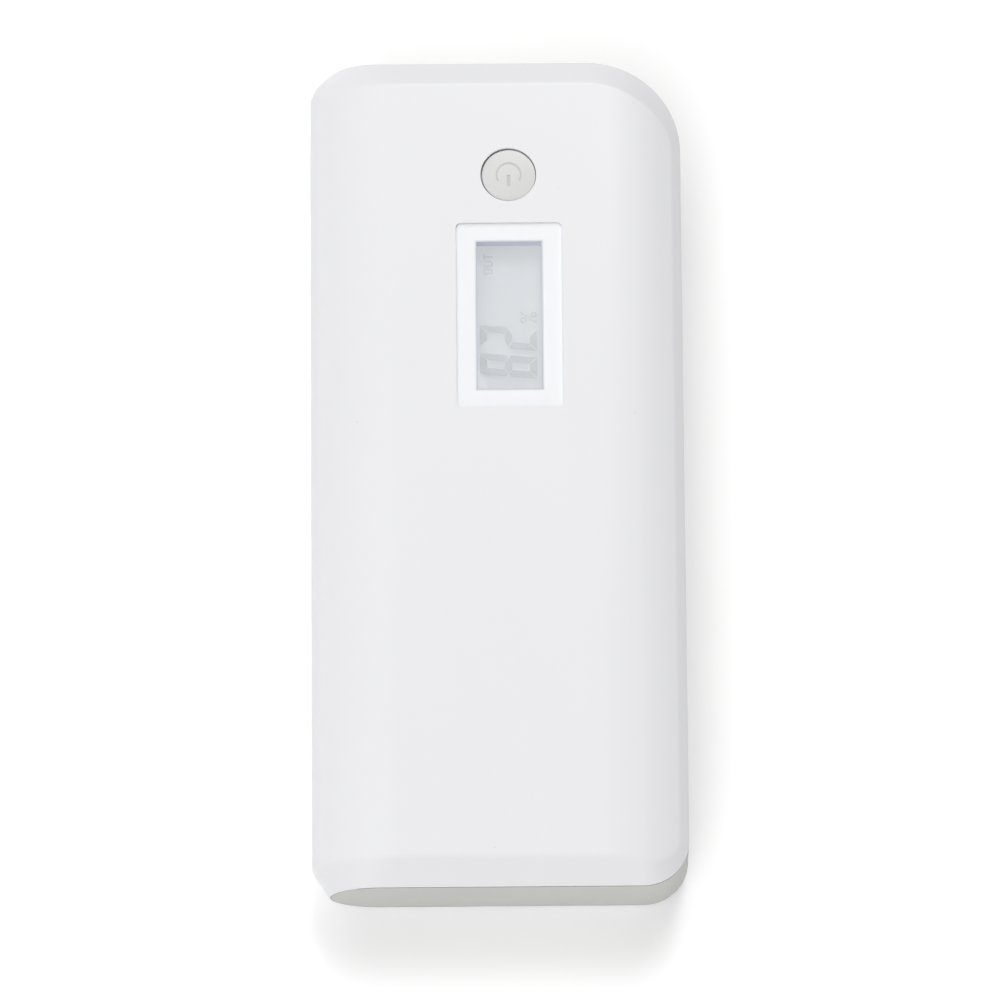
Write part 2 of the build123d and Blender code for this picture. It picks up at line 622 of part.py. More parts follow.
def board_screw(spot):
    """Cross-head self-tapping screw, thread drawn as a plain shank."""
    head = disc(spot, 1.9, (BOARD_TOP + 0.02, BOARD_TOP + 1.3))
    head = fillet(head.edges().sort_by(Axis.Z)[-1], 0.5)
    screw = head + disc(spot, 0.8, (7.0, BOARD_TOP + 0.1))
    cross = Box(2.2, 0.45, 1.0) + Box(0.45, 2.2, 1.0)
    return screw - Pos(*spot, BOARD_TOP + 1.2) * cross


INDUCTOR_SPOTS = ((-2.6, 17.0), (7.8, 17.0))


def inductor_core(spot):
    """Drum core: two flanges on a waist."""
    top = BOARD_BOTTOM - 0.02
    waist = disc(spot, 2.2, (top - 5.0, top))
    return waist + disc(spot, 4.6, (top - 1.0, top)) + disc(spot, 4.6, (top - 5.0, top - 4.0))


def inductor_coil(spot):
    top = BOARD_BOTTOM - 0.02
    coil = disc(spot, 4.0, (top - 3.98, top - 1.02))
    return coil - disc(spot, 2.22, (0, THICKNESS))


def under_board(x, y, width, length, height):
    """Component body that hangs from the board's underside."""
    z = (BOARD_BOTTOM - 0.02 - height, BOARD_BOTTOM - 0.02)
    return block((x - width / 2, x + width / 2), (y - length / 2, y + length / 2), z)


def capacitor_can(x, y):
    top = BOARD_BOTTOM - 0.02
    can = disc((x, y), 3.15, (top - 7.5, top))
    return fillet(can.edges().sort_by(Axis.Z)[0], 0.5)


def chip_parts():
    """Small resistors and ceramic capacitors in rows beside the converters."""
    chips = []
    for row in range(5):
        for column in range(3):
            chips.append(under_board(-5.4 + column * 2.6, 41.0 + row * 2.2, 1.6, 0.8, 0.5))
    return chips


# ---------------------------------------------------------------- cells and their wiring
def cell_places():
    near = [(x, NEAR_ROW_Y) for x in NEAR_ROW_X]
    return near + [(x, FAR_ROW_Y) for x in FAR_ROW_X]


def cell_can(x, y):
    """Thin steel can, open inside for the wound electrodes, with a rolled groove near its top."""
    can = rod(x, MID, CELL_RADIUS, (y, y + CELL_LENGTH - 0.6))
    can -= rod(x, MID, CELL_RADIUS - CAN_WALL, (y + CAN_WALL, y + CELL_LENGTH - 0.9))
    can -= rod(x, MID, 6.6, (y + CELL_LENGTH - 2, y + CELL_LENGTH + 1))
    groove = Pos(x, y + CELL_LENGTH - 4.0, MID) * Rot(90, 0, 0) * Torus(CELL_RADIUS + 0.35, 0.5)
    return can - groove


def cell_winding(x, y):
    winding = rod(x, MID, CELL_RADIUS - CAN_WALL - 0.05, (y + 1.2, y + CELL_LENGTH - 5.2))
    return winding - rod(x, MID, 1.2, (y, y + CELL_LENGTH))


def cell_wrap(x, y):
    """Shrink sleeve that folds over both ends of the can."""
    inner = CELL_RADIUS + 0.01
    sleeve = rod(x, MID, CELL_RADIUS + WRAP, (y - 0.1, y + CELL_LENGTH - 0.5))
    sleeve -= rod(x, MID, inner, (y - 0.01, y + CELL_LENGTH - 0.59))
    return sleeve - rod(x, MID, 7.4, (y - 2, y + CELL_LENGTH + 2))


def cell_cap(x, y):
    """Positive terminal: a raised button on a disc, seated in the top of the can."""
    disc_y = y + CELL_LENGTH - 0.58
    cap = rod(x, MID, 6.5, (disc_y, disc_y + 0.16)) + rod(x, MID, 4.2, (disc_y, y + CELL_LENGTH + 0.3))
    return cap


def cell_ring(x, y):
    start = y + CELL_LENGTH - 0.4
    return rod(x, MID, 8.6, (start, start + 0.2)) - rod(x, MID, 4.4, (start - 1, start + 1))


def strip(row_x, y, half_height):
    """Nickel strip across one end of a row, with a weld slot over each cell."""
    reach = 4.5
    z = (MID - half_height, MID + half_height)
    bar = block((row_x[0] - reach, row_x[-1] + reach), (y, y + STRIP_THICK), z)
    for x in row_x:
        bar -= block((x - 0.5, x + 0.5), (y - 1, y + 1), (MID - 2.0, MID + half_height + 1))
    return bar


def row_insulator():
    """Card between the two rows, notched for the positive lead."""
    y = FAR_ROW_Y - 0.1 - STRIP_THICK - 0.1
    card = block((-28.7, 29.5), (y - 0.35, y), (3.0, 19.0))
    card = fillet(card.edges().filter_by(Axis.Y), 3.0)
    return card - block((CONTROL_X - 6, CONTROL_X), (y - 1, y + 1), (2.0, 6.6))


def positive_lead():
    """Red lead from the strips of the near row, under the board's tongue, up to the board."""
    start = NEAR_ROW_Y + CELL_LENGTH + 0.34 + STRIP_THICK + LEAD_RADIUS
    x = CONTROL_X - 3.0
    low, up_y = 4.8, 61.5
    points = [(x, start, 9.0), (x, start, low), (x, up_y, low), (x, up_y, BOARD_BOTTOM - 0.05)]
    return wire(points, 1.0, LEAD_RADIUS)


def negative_lead():
    """Black lead along the low corner of the open side, from the near strip to the board."""
    x, z, up_x = 31.2, 4.9, 16.0
    near, far = NEAR_ROW_Y + 1.5, 60.0
    points = [(x, near, MID), (x, near, z), (x, far, z), (up_x, far, z), (up_x, far, BOARD_BOTTOM - 0.05)]
    return wire(points, 1.0, LEAD_RADIUS)


def cell_tapes(z):
    """Double-sided tape between the flat of a cover and the cells that lie under it."""
    flat_start = SPINE_DEPTH - HALF_W + 1.6
    flat = [(max(x, flat_start), y) for x, y in cell_places() if x < ROLL_START]
    return [block((x - 1.5, x + 1.5), (y + 18, y + 34), z) for x, y in flat]


# ---------------------------------------------------------------- assembly
def build():
    outer, inner = rounded_body(), body(WALL)
    cells = cell_places()
    cans = [cell_can(*place) for place in cells]
    sheet = display_sheet
    nodes = {
        "front_cover": front_cover(outer, inner),
        "back_cover": back_cover(outer, inner),
        "mid_frame": mid_frame(),
        "power_button": power_button(),
        "display_lens": display_lens(),
        "lens_mask": lens_mask(),
        "display_gasket": display_gasket(),
        "lcd_front_film": sheet(LCD_WIDTH - 0.4, LCD_LENGTH - 2.4, FRONT_FILM_Z),
        "lcd_front_glass": sheet(LCD_WIDTH, LCD_LENGTH - 2, FRONT_GLASS_Z),
        "lcd_segments": lcd_segments(),
        "lcd_rear_glass": sheet(LCD_WIDTH, LCD_LENGTH, REAR_GLASS_Z),
        "lcd_rear_film": sheet(LCD_WIDTH - 0.4, LCD_LENGTH - 0.4, REAR_FILM_Z),
        "light_guide": sheet(LCD_WIDTH - 0.2, LCD_LENGTH - 0.2, GUIDE_Z),
        "lcd_holder": lcd_holder(),
        "backlight_led": backlight_led(),
        "contact_strip": contact_strip(),
        "switch_base": switch_base(),
        "switch_dome": switch_dome(),
        "switch_plunger": switch_plunger(),
        "switch_cover": switch_cover(),
        "switch_terminals": switch_terminals(),
        "main_board": main_board(),
        "board_screws": [board_screw(spot) for spot in SCREW_SPOTS],
        "usb_in_shell": socket_shell(SOCKET_IN_X, SOCKET_IN_Z, IN_SHELL, 0.6),
        "usb_in_insulator": input_insulator(),
        "usb_in_contacts": input_contacts(),
        "inductor_cores": [inductor_core(spot) for spot in INDUCTOR_SPOTS],
        "inductor_coils": [inductor_coil(spot) for spot in INDUCTOR_SPOTS],
        "boost_converter": under_board(-3.0, 28.0, 6.0, 5.0, 1.5),
        "charge_controller": under_board(8.0, 28.0, 5.0, 5.0, 0.9),
        "microcontroller": under_board(8.0, 43.0, 7.0, 7.0, 1.2),
        "protection_transistors": [under_board(x, 35.5, 4.4, 3.0, 1.1) for x in (-4.0, 8.0)],
        "capacitor_cans": [capacitor_can(x, 54.2) for x in (-4.2, 9.2)],
        "chip_parts": chip_parts(),
        "cell_windings": [cell_winding(*place) for place in cells],
        "cell_wraps": [cell_wrap(*place) for place in cells],
        "cell_caps": [cell_cap(*place) for place in cells],
        "cell_rings": [cell_ring(*place) for place in cells],
        "near_negative_strip": strip(NEAR_ROW_X, NEAR_ROW_Y - 0.12 - STRIP_THICK, 3.5),
        "near_positive_strip": strip(NEAR_ROW_X, NEAR_ROW_Y + CELL_LENGTH + 0.32, 3.5),
        "far_negative_strip": strip(FAR_ROW_X, FAR_ROW_Y - 0.12 - STRIP_THICK, 2.8),
        "far_positive_strip": strip(FAR_ROW_X, FAR_ROW_Y + CELL_LENGTH + 0.32, 2.2),
        "row_insulator": row_insulator(),
        "positive_lead": positive_lead(),
        "negative_lead": negative_lead(),
        "upper_cell_tapes": cell_tapes((MID + CELL_RADIUS + WRAP + 0.02, INNER_TOP - 0.02)),
        "lower_cell_tapes": cell_tapes((WALL + 0.02, MID - CELL_RADIUS - WRAP - 0.02)),
    }
    for number, can in enumerate(cans, start=1):
        nodes[f"cell_{number}"] = can
    for side, x in zip(("left", "right"), SOCKET_OUT_X):
        nodes[f"usb_out_{side}_shell"] = socket_shell(x, SOCKET_OUT_Z, OUT_SHELL, 0.5)
        nodes[f"usb_out_{side}_insulator"] = output_insulator(x)
        nodes[f"usb_out_{side}_contacts"] = output_contacts(x)
    return nodes


def write(name, shape):
    """One STEP file per part; a list is a group of separate solids."""
    solids = []
    for item in shape if isinstance(shape, list) else [shape]:
        solids += item.solids()
    export_step(solids[0] if len(solids) == 1 else Compound(children=solids), f"parts/{name}.step")


os.makedirs("parts", exist_ok=True)
for part_name, part_shape in build().items():
    write(part_name, part_shape)
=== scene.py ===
import math

import bpy
from mathutils import Matrix, Vector


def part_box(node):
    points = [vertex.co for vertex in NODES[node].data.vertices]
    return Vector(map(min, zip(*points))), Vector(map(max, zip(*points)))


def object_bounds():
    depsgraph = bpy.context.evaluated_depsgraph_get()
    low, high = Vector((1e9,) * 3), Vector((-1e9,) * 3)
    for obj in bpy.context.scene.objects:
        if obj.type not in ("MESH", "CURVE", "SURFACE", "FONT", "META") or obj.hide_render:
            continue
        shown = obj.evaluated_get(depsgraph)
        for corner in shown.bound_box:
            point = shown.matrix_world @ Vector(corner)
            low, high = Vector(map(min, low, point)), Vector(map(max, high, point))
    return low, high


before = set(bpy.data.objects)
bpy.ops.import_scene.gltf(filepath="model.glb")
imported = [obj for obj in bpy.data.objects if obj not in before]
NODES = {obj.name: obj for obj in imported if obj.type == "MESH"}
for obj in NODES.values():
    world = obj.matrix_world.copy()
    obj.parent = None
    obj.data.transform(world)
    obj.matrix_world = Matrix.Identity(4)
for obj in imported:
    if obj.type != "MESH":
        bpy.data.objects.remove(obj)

MM = 0.001
CAD_LOW, CAD_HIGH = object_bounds()


# ---------------------------------------------------------------- places taken from the frame
GASKET_LOW, GASKET_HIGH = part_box("display_gasket")
GASKET_MID = (GASKET_LOW + GASKET_HIGH) / 2
GASKET_WALL = 1.7           # of the frame round the window, in millimetres
BUTTON_LOW, BUTTON_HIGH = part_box("power_button")
BUTTON_MID = (BUTTON_LOW + BUTTON_HIGH) / 2
SEGMENTS_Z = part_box("lcd_segments")[0].z
BODY_MID = (CAD_LOW + CAD_HIGH) / 2


# ---------------------------------------------------------------- node graph helper
class Graph:
    """A material's node tree, with short calls for the nodes used below."""

    def __init__(self, name):
        self.material = bpy.data.materials.new(name)
        self.material.use_nodes = True
        self.tree = self.material.node_tree
        self.tree.nodes.clear()
        self.out = self.add("ShaderNodeOutputMaterial")
        coordinates = self.add("ShaderNodeTexCoord")
        scale = self.add("ShaderNodeVectorMath", operation="SCALE")
        scale.inputs["Scale"].default_value = 1 / MM
        self.link(coordinates.outputs["Object"], scale.inputs[0])
        self.millimetres = scale.outputs["Vector"]

    def add(self, kind, **settings):
        node = self.tree.nodes.new(kind)
        for key, value in settings.items():
            setattr(node, key, value)
        return node

    def link(self, source, target):
        self.tree.links.new(source, target)

    def feed(self, socket, value):
        """Puts a number, a colour or another node's output into a socket."""
        if isinstance(value, bpy.types.NodeSocket):
            self.link(value, socket)
        elif isinstance(value, (tuple, list)) and len(value) == 3 and socket.type == "RGBA":
            socket.default_value = (*value, 1.0)
        else:
            socket.default_value = value

    def maths(self, operation, a, b=0.0, c=0.0, clamp=False):
        node = self.add("ShaderNodeMath", operation=operation, use_clamp=clamp)
        for socket, value in zip(node.inputs, (a, b, c)):
            self.feed(socket, value)
        return node.outputs[0]

    def ranged(self, value, low, high, out_low=0.0, out_high=1.0):
        """Smooth step from low to high, scaled to the output range."""
        node = self.add("ShaderNodeMapRange", interpolation_type="SMOOTHSTEP")
        for socket, number in zip(node.inputs, (value, low, high, out_low, out_high)):
            self.feed(socket, number)
        return node.outputs[0]

    def stretched(self, stretch=(1, 1, 1)):
        node = self.add("ShaderNodeVectorMath", operation="MULTIPLY")
        self.link(self.millimetres, node.inputs[0])
        node.inputs[1].default_value = stretch
        return node.outputs[0]

    def noise(self, size, detail=2.0, roughness=0.5, stretch=(1, 1, 1)):
        """Noise whose features are about size millimetres across."""
        node = self.add("ShaderNodeTexNoise")
        self.link(self.stretched(stretch), node.inputs["Vector"])
        node.inputs["Scale"].default_value = 1 / size
        node.inputs["Detail"].default_value = detail
        node.inputs["Roughness"].default_value = roughness
        return node.outputs["Fac"]

    def cells(self, size, output="Distance", dimensions="3D"):
        node = self.add("ShaderNodeTexVoronoi", voronoi_dimensions=dimensions)
        self.link(self.millimetres, node.inputs["Vector"])
        node.inputs["Scale"].default_value = 1 / size
        return node.outputs[output]

    def axis(self, name):
        node = self.add("ShaderNodeSeparateXYZ")
        self.link(self.millimetres, node.inputs[0])
        return node.outputs[name]

    def distance(self, point):
        """Distance in millimetres from a point given in metres."""
        node = self.add("ShaderNodeVectorMath", operation="DISTANCE")
        self.link(self.millimetres, node.inputs[0])
        node.inputs[1].default_value = Vector(point) / MM
        return node.outputs["Value"]

    def blend(self, factor, first, second):
        node = self.add("ShaderNodeMix", data_type="RGBA")
        self.feed(node.inputs[0], factor)
        self.feed(node.inputs[6], first)
        self.feed(node.inputs[7], second)
        return node.outputs[2]

    def mixed(self, factor, first, second):
        """First shader at factor 0, second shader at factor 1."""
        node = self.add("ShaderNodeMixShader")
        self.feed(node.inputs[0], factor)
        self.link(first, node.inputs[1])
        self.link(second, node.inputs[2])
        return node.outputs[0]

    def bump(self, height, depth, strength=1.0, normal=None):
        """Relief of depth millimetres from a height between 0 and 1."""
        node = self.add("ShaderNodeBump")
        node.inputs["Strength"].default_value = strength
        node.inputs["Distance"].default_value = depth * MM
        self.feed(node.inputs["Height"], height)
        if normal is not None:
            self.link(normal, node.inputs["Normal"])
        return node.outputs["Normal"]

    def surface(self, colour, roughness, metallic=0.0, normal=None, coat=0.0, ior=1.5, **more):
        node = self.add("ShaderNodeBsdfPrincipled")
        self.feed(node.inputs["Base Color"], colour)
        self.feed(node.inputs["Roughness"], roughness)
        self.feed(node.inputs["Metallic"], metallic)
        self.feed(node.inputs["Coat Weight"], coat)
        self.feed(node.inputs["IOR"], ior)
        for name, value in more.items():
            self.feed(node.inputs[name.replace("_", " ")], value)
        if normal is not None:
            self.link(normal, node.inputs["Normal"])
        return node.outputs[0]

    def finish(self, shader):
        self.link(shader, self.out.inputs["Surface"])
        return self.material


# ---------------------------------------------------------------- materials of the casing
def moulded_shader(g, colour, roughness, grain_size, grain_depth, tint=0.012, dust=0.0):
    """Fine-grained moulding: spark-eroded grain, faint flow marks, and dust if asked for."""
    flow = g.noise(38.0, 3.0, 0.55, (1.0, 0.35, 1.0))
    mottle = g.noise(2.2, 4.0, 0.6)
    darker = tuple(c * (1 - 2 * tint) for c in colour)
    lighter = tuple(min(1.0, c * (1 + tint)) for c in colour)
    streaked = g.blend(g.ranged(flow, 0.3, 0.7), darker, lighter)
    fine = g.maths("MULTIPLY_ADD", mottle, tint * 2, 1 - tint)
    shade = g.add("ShaderNodeMix", data_type="RGBA", blend_type="MULTIPLY")
    shade.inputs[0].default_value = 1.0
    g.link(streaked, shade.inputs[6])
    g.link(fine, shade.inputs[7])
    tone = shade.outputs[2]
    if dust:
        tone = g.blend(g.maths("MULTIPLY", dust_specks(g), dust), tone, (0.42, 0.39, 0.35))
    grain = g.noise(grain_size, 3.0, 0.65)
    relief = g.bump(grain, grain_depth, 0.6, g.bump(flow, 0.02, 0.4))
    gloss = g.maths("MULTIPLY_ADD", mottle, 0.10, roughness - 0.05)
    return g.surface(tone, gloss, normal=relief)


def dust_specks(g):
    """One inside a few tiny specks, scattered as seen from above; zero elsewhere."""
    spacing, spread, threshold = 13.0, 0.030, 0.021
    split = g.add("ShaderNodeSeparateColor")
    g.link(g.cells(spacing, "Color", "2D"), split.inputs[0])
    size = g.maths("MULTIPLY_ADD", split.outputs[0], spread, -threshold)
    return g.maths("LESS_THAN", g.cells(spacing, "Distance", "2D"), size)


def moulded_plastic(name, *look):
    g = Graph(name)
    return g.finish(moulded_shader(g, *look))


def cover_white():
    return moulded_plastic("cover_white", (0.782, 0.782, 0.796), 0.40, 0.16, 0.0035, 0.004, 0.6)


def band_grey():
    """Grey moulding whose upper and lower rim faces, seen only through the parting gap, are
    painted near-black as painted shade, so the gap stays dark.
    """
    g = Graph("band_grey")
    outside = moulded_shader(g, (0.518, 0.520, 0.486), 0.46, 0.20, 0.006, 0.012)
    # painted shade: the flat rim faces are painted near-black to stand in for the shadow in the
    # parting gap
    painted_gap_shade = g.add("ShaderNodeBsdfDiffuse")
    g.feed(painted_gap_shade.inputs["Color"], (0.06, 0.06, 0.06))
    split = g.add("ShaderNodeSeparateXYZ")
    g.link(g.add("ShaderNodeNewGeometry").outputs["True Normal"], split.inputs[0])
    flat = g.maths("GREATER_THAN", g.maths("ABSOLUTE", split.outputs["Z"]), 0.9)
    return g.finish(g.mixed(flat, outside, painted_gap_shade.outputs[0]))


def button_grey():
    """Satin cap with a fine turned grain round its centre and a greyer sunk mark."""
    g = Graph("button_grey")
    cap_radius, crown = 5.09, 0.34
    mark_reach, mark_depth = 3.4, 0.03
    across = g.maths("SUBTRACT", g.axis("X"), BUTTON_MID.x / MM)
    along = g.maths("SUBTRACT", g.axis("Y"), BUTTON_MID.y / MM)
    squares = [g.maths("MULTIPLY", offset, offset) for offset in (across, along)]
    radius = g.maths("SQRT", g.maths("ADD", *squares))
    fall = g.maths("MULTIPLY", g.maths("POWER", g.maths("DIVIDE", radius, cap_radius), 2.0), crown)
    sunk = g.maths("SUBTRACT", g.maths("SUBTRACT", BUTTON_HIGH.z / MM, fall), g.axis("Z"))
    inside = g.maths("LESS_THAN", radius, mark_reach)
    marked = g.maths("MULTIPLY", g.maths("GREATER_THAN", sunk, mark_depth), inside)
    rings = g.maths("SINE", g.maths("MULTIPLY", radius, 60.0))
    mottle = g.noise(0.5, 3.0)
    tone = g.blend(g.ranged(mottle, 0.3, 0.7), (0.645, 0.650, 0.640), (0.665, 0.670, 0.660))
    tone = g.blend(marked, tone, (0.54, 0.54, 0.52))
    relief = g.bump(rings, 0.0012, 0.35, g.bump(g.noise(0.12, 2.0), 0.003, 0.5))
    return g.finish(g.surface(tone, g.maths("MULTIPLY_ADD", mottle, 0.1, 0.36), normal=relief))


# ---------------------------------------------------------------- materials of the display
def clear_sheet(name, tint, gloss=0.0, haze=0.0, bending=False):
    """Thin clear sheet with a faint outer reflection and haze.

    Bending sheets refract by next to nothing. They are there because a light path may cross
    only a few plain see-through faces, and the display's stack has more.
    """
    g = Graph(name)
    smear = g.noise(4.0, 3.0, 0.6, (1.0, 0.4, 1.0))
    through = g.add("ShaderNodeBsdfRefraction" if bending else "ShaderNodeBsdfTransparent")
    g.feed(through.inputs[0], g.blend(smear, tint, tuple(c * 0.99 for c in tint)))
    if bending:
        g.feed(through.inputs["Roughness"], 0.0)
        g.feed(through.inputs["IOR"], 1.001)
    shine = g.add("ShaderNodeBsdfGlossy")
    g.feed(shine.inputs["Roughness"], g.maths("MULTIPLY_ADD", smear, 0.06, 0.05))
    fresnel = g.add("ShaderNodeFresnel")
    fresnel.inputs["IOR"].default_value = 1.45
    leaving = g.add("ShaderNodeNewGeometry").outputs["Backfacing"]
    outer_gloss = g.maths("MULTIPLY", g.maths("SUBTRACT", 1.0, leaving), gloss)
    reflecting = g.maths("MULTIPLY", fresnel.outputs[0], outer_gloss)
    sheet = g.mixed(reflecting, through.outputs[0], shine.outputs[0])
    veil = g.add("ShaderNodeBsdfDiffuse")
    g.feed(veil.inputs[0], (0.95, 0.96, 1.0))
    return g.finish(g.mixed(g.maths("MULTIPLY", smear, haze * 2), sheet, veil.outputs[0]))


def mask_white():
    """White printing under the lens, with painted shade in a greyer ring round the window and a
    darker painted shade line at the window's edge; it glows a little, as painted light.
    """
    ring_shade_width, edge_shade_width = 0.36, 0.09
    g = Graph("mask_white")
    x, y = g.axis("X"), g.axis("Y")
    across = g.maths("ABSOLUTE", g.maths("SUBTRACT", x, GASKET_MID.x / MM))
    along = g.maths("ABSOLUTE", g.maths("SUBTRACT", y, GASKET_MID.y / MM))
    half_x = (GASKET_HIGH.x - GASKET_LOW.x) / 2 / MM - GASKET_WALL
    half_y = (GASKET_HIGH.y - GASKET_LOW.y) / 2 / MM - GASKET_WALL
    past = g.maths("SUBTRACT", across, half_x), g.maths("SUBTRACT", along, half_y)
    outside = g.maths("MAXIMUM", *past)
    # painted shade: a greyer ring and a darker line at the window's edge stand in for shading at
    # the window's rim
    ring_shade = g.maths("LESS_THAN", outside, ring_shade_width)
    edge_shade = g.maths("LESS_THAN", outside, edge_shade_width)
    grain = g.noise(0.3, 3.0)
    print_white = g.blend(grain, (0.542, 0.550, 0.562), (0.558, 0.566, 0.578))
    tone = g.blend(ring_shade, print_white, (0.430, 0.442, 0.476))
    tone = g.blend(edge_shade, tone, (0.26, 0.27, 0.32))
    # painted light: the printed mask glows a little, though it is no lamp, to lift the shade under
    # the lens seat
    glow = {"Emission_Color": tone, "Emission_Strength": 0.53}
    return g.finish(g.surface(tone, 0.35, normal=g.bump(grain, 0.002, 0.3), **glow))


def gasket_foam():
    """Pored foam round the window; it glows a little, as painted light."""
    g = Graph("gasket_foam")
    pores = g.cells(0.25)
    tone = g.blend(g.ranged(pores, 0.1, 0.6), (0.31, 0.31, 0.38), (0.36, 0.36, 0.43))
    # painted light: the foam glows a little though it is no lamp, lifting the shade in the
    # window's well
    glow = {"Emission_Color": tone, "Emission_Strength": 0.55}
    return g.finish(g.surface(tone, 0.8, normal=g.bump(pores, 0.05, 0.6), **glow))


def lcd_ink():
    """Liquid crystal that is switched on: partly see-through, with a soft mottling."""
    g = Graph("lcd_ink")
    through = g.add("ShaderNodeBsdfTransparent")
    dark = g.surface(g.blend(g.noise(0.4, 2.0), (0.42, 0.43, 0.44), (0.50, 0.51, 0.52)), 0.5)
    density = g.maths("MULTIPLY_ADD", g.noise(0.6, 2.0), 0.04, 0.115)
    return g.finish(g.mixed(density, through.outputs[0], dark))


def reflector():
    """Frosted backing of the display, lit from within, with a painted reflection: a faint lighter
    patch low down.
    """
    reflection_offset, reflection_rim = (-2.3, 2.6), (6.1, 5.8)
    g = Graph("reflector")
    frost = g.noise(0.35, 4.0, 0.7)
    cloud = g.noise(7.0, 2.0)
    tone = g.blend(frost, (0.189, 0.190, 0.198), (0.197, 0.198, 0.206))
    tone = g.blend(g.ranged(cloud, 0.35, 0.65), tone, (0.195, 0.198, 0.203))
    dx, dy = (offset * MM for offset in reflection_offset)
    centre = Vector((GASKET_LOW.x + dx, GASKET_LOW.y + dy, SEGMENTS_Z))
    # painted reflection: the faint lighter patch stands in for a reflection on the display's glass
    patch = g.ranged(g.distance(centre), *reflection_rim)
    tone = g.blend(g.maths("MULTIPLY", patch, 0.35), tone, (0.255, 0.260, 0.270))
    glow = {"Emission_Color": tone, "Emission_Strength": 2.56}
    return g.finish(g.surface(tone, 0.5, normal=g.bump(frost, 0.004, 0.4), **glow))


# ---------------------------------------------------------------- materials of the inside
def plain_moulding(name, colour, roughness):
    return moulded_plastic(name, colour, roughness, 0.18, 0.008, 0.03)


def metal(name, colour, roughness, stretch=(1, 8, 1), size=0.12):
    """Rolled or drawn metal: fine lines along one axis, with duller patches."""
    g = Graph(name)
    lines = g.noise(size, 3.0, 0.6, stretch)
    dull = g.noise(3.0, 4.0, 0.6)
    darker = tuple(c * 0.80 for c in colour)
    tone = g.blend(g.ranged(dull, 0.35, 0.75), colour, darker)
    rough = g.maths("MULTIPLY_ADD", dull, 0.22, roughness - 0.08)
    relief = g.bump(lines, 0.004, 0.5)
    return g.finish(g.surface(tone, rough, 1.0, relief))


def board_green():
    """Solder resist over copper, with paler tracks in a right-angled pattern."""
    g = Graph("board_green")
    brick = g.add("ShaderNodeTexBrick")
    g.link(g.millimetres, brick.inputs["Vector"])
    brick.inputs["Scale"].default_value = 0.55
    brick.inputs["Mortar Size"].default_value = 0.05
    weave = g.noise(0.5, 2.0)
    base = g.blend(brick.outputs["Fac"], (0.02, 0.16, 0.07), (0.03, 0.26, 0.10))
    tone = g.blend(g.maths("MULTIPLY", weave, 0.3), base, (0.05, 0.30, 0.14))
    return g.finish(g.surface(tone, 0.28, normal=g.bump(brick.outputs["Fac"], 0.03, 0.5)))


def wound_coil():
    """Enamelled copper wire, wound round the upright axis."""
    g = Graph("copper_coil")
    turns = g.maths("SINE", g.maths("MULTIPLY", g.axis("Z"), 14.0))
    patina = g.noise(1.0, 3.0)
    tone = g.blend(patina, (0.72, 0.32, 0.14), (0.55, 0.22, 0.09))
    return g.finish(g.surface(tone, 0.3, 0.9, g.bump(turns, 0.12, 0.8)))


def wound_foil():
    """Edges of the rolled electrode foils."""
    g = Graph("electrode_roll")
    x, z = g.axis("X"), g.axis("Z")
    layers = g.maths("SINE", g.maths("MULTIPLY", g.maths("ADD", x, z), 20.0))
    tone = g.blend(g.ranged(layers, -1, 1), (0.08, 0.08, 0.09), (0.45, 0.28, 0.18))
    return g.finish(g.surface(tone, 0.45, 0.6, g.bump(layers, 0.05)))


def shrink_film(name, colour):
    """Shrunk sleeve with faint stretch wrinkles near its folds."""
    g = Graph(name)
    wrinkle = g.noise(1.6, 4.0, 0.65, (1.0, 0.25, 1.0))
    lighter = tuple(min(1.0, c * 1.35 + 0.01) for c in colour)
    tone = g.blend(g.ranged(wrinkle, 0.4, 0.8), colour, lighter)
    return g.finish(g.surface(tone, 0.22, normal=g.bump(wrinkle, 0.05, 0.5), coat=0.3))


def fibre_card(name, colour):
    g = Graph(name)
    fibre = g.noise(0.35, 5.0, 0.75, (1.0, 1.0, 4.0))
    darker = tuple(c * 0.82 for c in colour)
    tone = g.blend(g.ranged(fibre, 0.3, 0.7), darker, colour)
    return g.finish(g.surface(tone, 0.85, normal=g.bump(fibre, 0.03, 0.7)))


def lead_sleeve(name, colour):
    g = Graph(name)
    skin = g.noise(0.5, 3.0, 0.6)
    lighter = tuple(min(1.0, c * 1.3 + 0.01) for c in colour)
    tone = g.blend(g.ranged(skin, 0.35, 0.75), colour, lighter)
    return g.finish(g.surface(tone, 0.38, normal=g.bump(skin, 0.02, 0.5)))


def striped_rubber():
    """Rubber with conducting layers that alternate with plain ones."""
    g = Graph("striped_rubber")
    stripes = g.maths("GREATER_THAN", g.maths("SINE", g.maths("MULTIPLY", g.axis("X"), 30.0)), 0.0)
    tone = g.blend(stripes, (0.62, 0.60, 0.56), (0.03, 0.03, 0.03))
    return g.finish(g.surface(tone, 0.6, normal=g.bump(stripes, 0.02, 0.5)))


